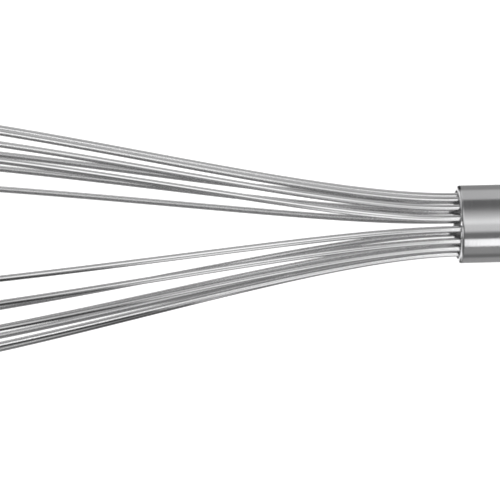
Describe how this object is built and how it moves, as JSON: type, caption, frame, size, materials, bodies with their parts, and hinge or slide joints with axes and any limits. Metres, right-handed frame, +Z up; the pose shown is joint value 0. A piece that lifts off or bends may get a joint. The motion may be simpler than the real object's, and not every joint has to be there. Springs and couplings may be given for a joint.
{
  "type": "balloon whisk",
  "caption": "Stainless steel balloon whisk: nested wire loops held in a round tube handle, with a swinging ring to hang it by.",
  "frame": {"origin": "on the table that the whisk lies on, under the middle of its box", "axes": "+X towards the handle's end, -X towards the wire balloon, +Z up from the table; the whisk's own axis dips a few degrees towards +X because the balloon is thicker than the handle"},
  "size_m": [0.3268, 0.0628, 0.0548],
  "materials": {
    "handle_steel": "polished, with faint brushing round the tube",
    "wire_steel": "bright drawn wire",
    "core_steel": "as turned",
    "sealant": "matt, dark"
  },
  "bodies": {
    "whisk": {"handle_tube": "handle_steel", "end_cap": "handle_steel", "mouth_seal": "sealant", "wire_core": "core_steel", "wire_loop_1": "wire_steel", "wire_loop_2": "wire_steel", "wire_loop_3": "wire_steel", "wire_loop_4": "wire_steel", "wire_loop_5": "wire_steel", "wire_loop_6": "wire_steel", "wire_loop_7": "wire_steel", "wire_loop_8": "wire_steel"},
    "ring": {"hang_ring": "wire_steel"}
  },
  "joints": [
    {"name": "ring_swing", "type": "hinge", "parent": "whisk", "child": "ring", "pos_m": [0.14595, 0.00014, 0.00848], "axis": [0, 1, 0], "range_deg": [-159, 120]}
  ]
}
